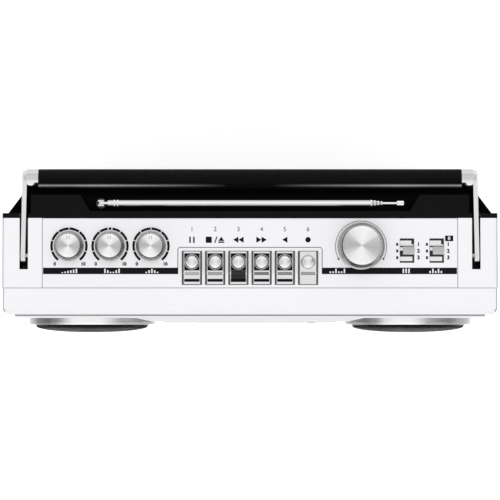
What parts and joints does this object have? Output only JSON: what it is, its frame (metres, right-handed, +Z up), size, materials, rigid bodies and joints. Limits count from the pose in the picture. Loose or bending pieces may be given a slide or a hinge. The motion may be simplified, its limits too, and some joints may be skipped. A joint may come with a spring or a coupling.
{
  "type": "retro radio",
  "caption": "Portable retro radio cassette recorder with round speakers, top controls, piano keys, folding carry handle and telescopic antenna",
  "frame": {"origin": "middle of the underside of the bounding box, on the surface that the feet stand on", "axes": "+X right seen from the front, +Y to the back, +Z up"},
  "size_m": [0.44, 0.1458, 0.2691],
  "materials": {
    "white_shell": "satin white moulded plastic",
    "white_face": "white moulded plastic",
    "black_shell": "black moulded plastic",
    "black_guide": "matt black",
    "grip_black": "ribbed black plastic",
    "chrome_arm": "chrome plated",
    "chrome_key": "chrome plated plastic",
    "knob_chrome": "chrome plated plastic",
    "spun_cap": "spun aluminium",
    "grille_black": "black painted perforated metal",
    "antenna_metal": "polished",
    "steel": "zinc plated steel",
    "rubber": "black rubber",
    "clear": "clear moulded window",
    "scale": "printed scale",
    "pointer": "red",
    "board": "circuit board",
    "black_part": "black",
    "door_white": "white moulded plastic"
  },
  "bodies": {
    "root": {"case_screws": "steel", "control_boards": "board", "control_panel": "white_shell", "deck_chassis": "steel", "dial_scale": "scale", "dial_window": "clear", "front_bezel": "white_shell", "front_plate": "white_face", "handle_pivot_pins": "steel", "headphone_jack": "steel", "key_guide": "black_guide", "main_board": "board", "main_cabinet": "white_shell", "mains_inlet": "black_guide", "pointer_rail": "steel", "potentiometers": "black_part", "power_transformer": "steel", "rear_cover": "black_shell", "rubber_feet": "rubber", "slide_switches": "black_part", "speaker_cones": "black_part", "speaker_frames": "steel", "speaker_grilles": "grille_black", "speaker_magnets": "steel", "speaker_rings": "chrome_arm", "tuning_gang": "steel"},
    "handle": {"handle_grip": "grip_black", "handle_arm_left": "chrome_arm", "handle_arm_right": "chrome_arm"},
    "antenna_swivel": {"antenna_base": "antenna_metal"},
    "antenna_mast": {"antenna_tube": "antenna_metal"},
    "antenna_second": {"antenna_section_2": "antenna_metal"},
    "antenna_third": {"antenna_section_3": "antenna_metal"},
    "antenna_fourth": {"antenna_section_4": "antenna_metal"},
    "antenna_top": {"antenna_rod": "antenna_metal", "antenna_tip": "antenna_metal"},
    "volume": {"volume_knob": "knob_chrome", "volume_cap": "spun_cap"},
    "balance": {"balance_knob": "knob_chrome", "balance_cap": "spun_cap"},
    "tone": {"tone_knob": "knob_chrome", "tone_cap": "spun_cap"},
    "tuning": {"tuning_knob": "knob_chrome", "tuning_cap": "spun_cap", "tuning_shaft": "steel"},
    "drum": {"tuning_drum": "black_part"},
    "pointer": {"dial_pointer": "pointer"},
    "band_switch": {"band_lever": "chrome_key"},
    "function_switch": {"function_lever": "chrome_key"},
    "deck_door": {"cassette_door": "door_white", "cassette_window": "clear"},
    "battery_cover": {"battery_door": "black_shell"},
    "supply_reel": {"supply_spindle": "black_part"},
    "takeup_reel": {"takeup_spindle": "black_part"},
    "pause_button": {"pause_key": "chrome_key"},
    "stop_button": {"stop_key": "chrome_key"},
    "fast_forward_button": {"fast_forward_key": "chrome_key"},
    "rewind_button": {"rewind_key": "chrome_key"},
    "play_button": {"play_key": "chrome_key"},
    "record_button": {"record_key": "chrome_key"}
  },
  "joints": [
    {"name": "handle_fold", "type": "hinge", "parent": "root", "child": "handle", "pos_m": [0, -0.0054, 0.243], "axis": [1, 0, 0], "range_deg": [0, 100]},
    {"name": "antenna_turn", "type": "hinge", "parent": "root", "child": "antenna_swivel", "pos_m": [-0.132, 0.0409, 0.2554], "axis": [0, 0, 1], "range_deg": [0, 90]},
    {"name": "antenna_tilt", "type": "hinge", "parent": "antenna_swivel", "child": "antenna_mast", "pos_m": [-0.132, 0.0409, 0.2554], "axis": [0, -1, 0], "range_deg": [0, 90]},
    {"name": "antenna_slide_2", "type": "slide", "parent": "antenna_mast", "child": "antenna_second", "axis": [1, 0, 0], "range_m": [0, 0.18]},
    {"name": "antenna_slide_3", "type": "slide", "parent": "antenna_second", "child": "antenna_third", "axis": [1, 0, 0], "range_m": [0, 0.18]},
    {"name": "antenna_slide_4", "type": "slide", "parent": "antenna_third", "child": "antenna_fourth", "axis": [1, 0, 0], "range_m": [0, 0.18]},
    {"name": "antenna_slide_5", "type": "slide", "parent": "antenna_fourth", "child": "antenna_top", "axis": [1, 0, 0], "range_m": [0, 0.18]},
    {"name": "volume_turn", "type": "hinge", "parent": "root", "child": "volume", "pos_m": [-0.1606, 0.003, 0.252], "axis": [0, 0, 1], "range_deg": [-142, 142]},
    {"name": "balance_turn", "type": "hinge", "parent": "root", "child": "balance", "pos_m": [-0.1242, 0.003, 0.252], "axis": [0, 0, 1], "range_deg": [-142, 142]},
    {"name": "tone_turn", "type": "hinge", "parent": "root", "child": "tone", "pos_m": [-0.0878, 0.003, 0.252], "axis": [0, 0, 1], "range_deg": [-142, 142]},
    {"name": "tuning_turn", "type": "hinge", "parent": "root", "child": "tuning", "pos_m": [0.0985, 0.003, 0.252], "axis": [0, 0, 1], "range_deg": [-720, 720]},
    {"name": "drum_turn", "type": "hinge", "parent": "root", "child": "drum", "pos_m": [0.135, 0.003, 0.2064], "axis": [0, 0, 1], "range_deg": [-91, 91]},
    {"name": "pointer_slide", "type": "slide", "parent": "root", "child": "pointer", "axis": [1, 0, 0], "range_m": [-0.0505, 0.0505]},
    {"name": "band_slide", "type": "slide", "parent": "root", "child": "band_switch", "axis": [0, 1, 0], "range_m": [-0.005, 0.005]},
    {"name": "function_slide", "type": "slide", "parent": "root", "child": "function_switch", "axis": [0, 1, 0], "range_m": [-0.005, 0.005]},
    {"name": "pause_press", "type": "slide", "parent": "root", "child": "pause_button", "axis": [0, 0, -1], "range_m": [0, 0.005], "stiffness_N_per_m": 300, "springref_m": -0.002},
    {"name": "stop_press", "type": "slide", "parent": "root", "child": "stop_button", "axis": [0, 0, -1], "range_m": [0, 0.005], "stiffness_N_per_m": 300, "springref_m": -0.002},
    {"name": "fast_forward_press", "type": "slide", "parent": "root", "child": "fast_forward_button", "axis": [0, 0, -1], "range_m": [0, 0.005], "stiffness_N_per_m": 300, "springref_m": -0.002},
    {"name": "rewind_press", "type": "slide", "parent": "root", "child": "rewind_button", "axis": [0, 0, -1], "range_m": [0, 0.005], "stiffness_N_per_m": 300, "springref_m": -0.002},
    {"name": "play_press", "type": "slide", "parent": "root", "child": "play_button", "axis": [0, 0, -1], "range_m": [0, 0.005], "stiffness_N_per_m": 300, "springref_m": -0.002},
    {"name": "record_press", "type": "slide", "parent": "root", "child": "record_button", "axis": [0, 0, -1], "range_m": [0, 0.005], "stiffness_N_per_m": 300, "springref_m": -0.002},
    {"name": "deck_door_open", "type": "hinge", "parent": "root", "child": "deck_door", "pos_m": [0, -0.0572, 0.079], "axis": [1, 0, 0], "range_deg": [0, 30]},
    {"name": "battery_door_open", "type": "hinge", "parent": "root", "child": "battery_cover", "pos_m": [0, 0.0629, 0.021], "axis": [-1, 0, 0], "range_deg": [0, 90]},
    {"name": "supply_turn", "type": "hinge", "parent": "root", "child": "supply_reel", "pos_m": [-0.02125, -0.0421, 0.114], "axis": [0, -1, 0], "continuous": true},
    {"name": "takeup_turn", "type": "hinge", "parent": "root", "child": "takeup_reel", "pos_m": [0.02125, -0.0421, 0.114], "axis": [0, -1, 0], "continuous": true}
  ],
  "couplings": [
    {"joint": "pointer_slide", "follows": "tuning_turn", "m_per_rad": 0.004},
    {"joint": "drum_turn", "follows": "tuning_turn", "ratio": 0.125}
  ]
}
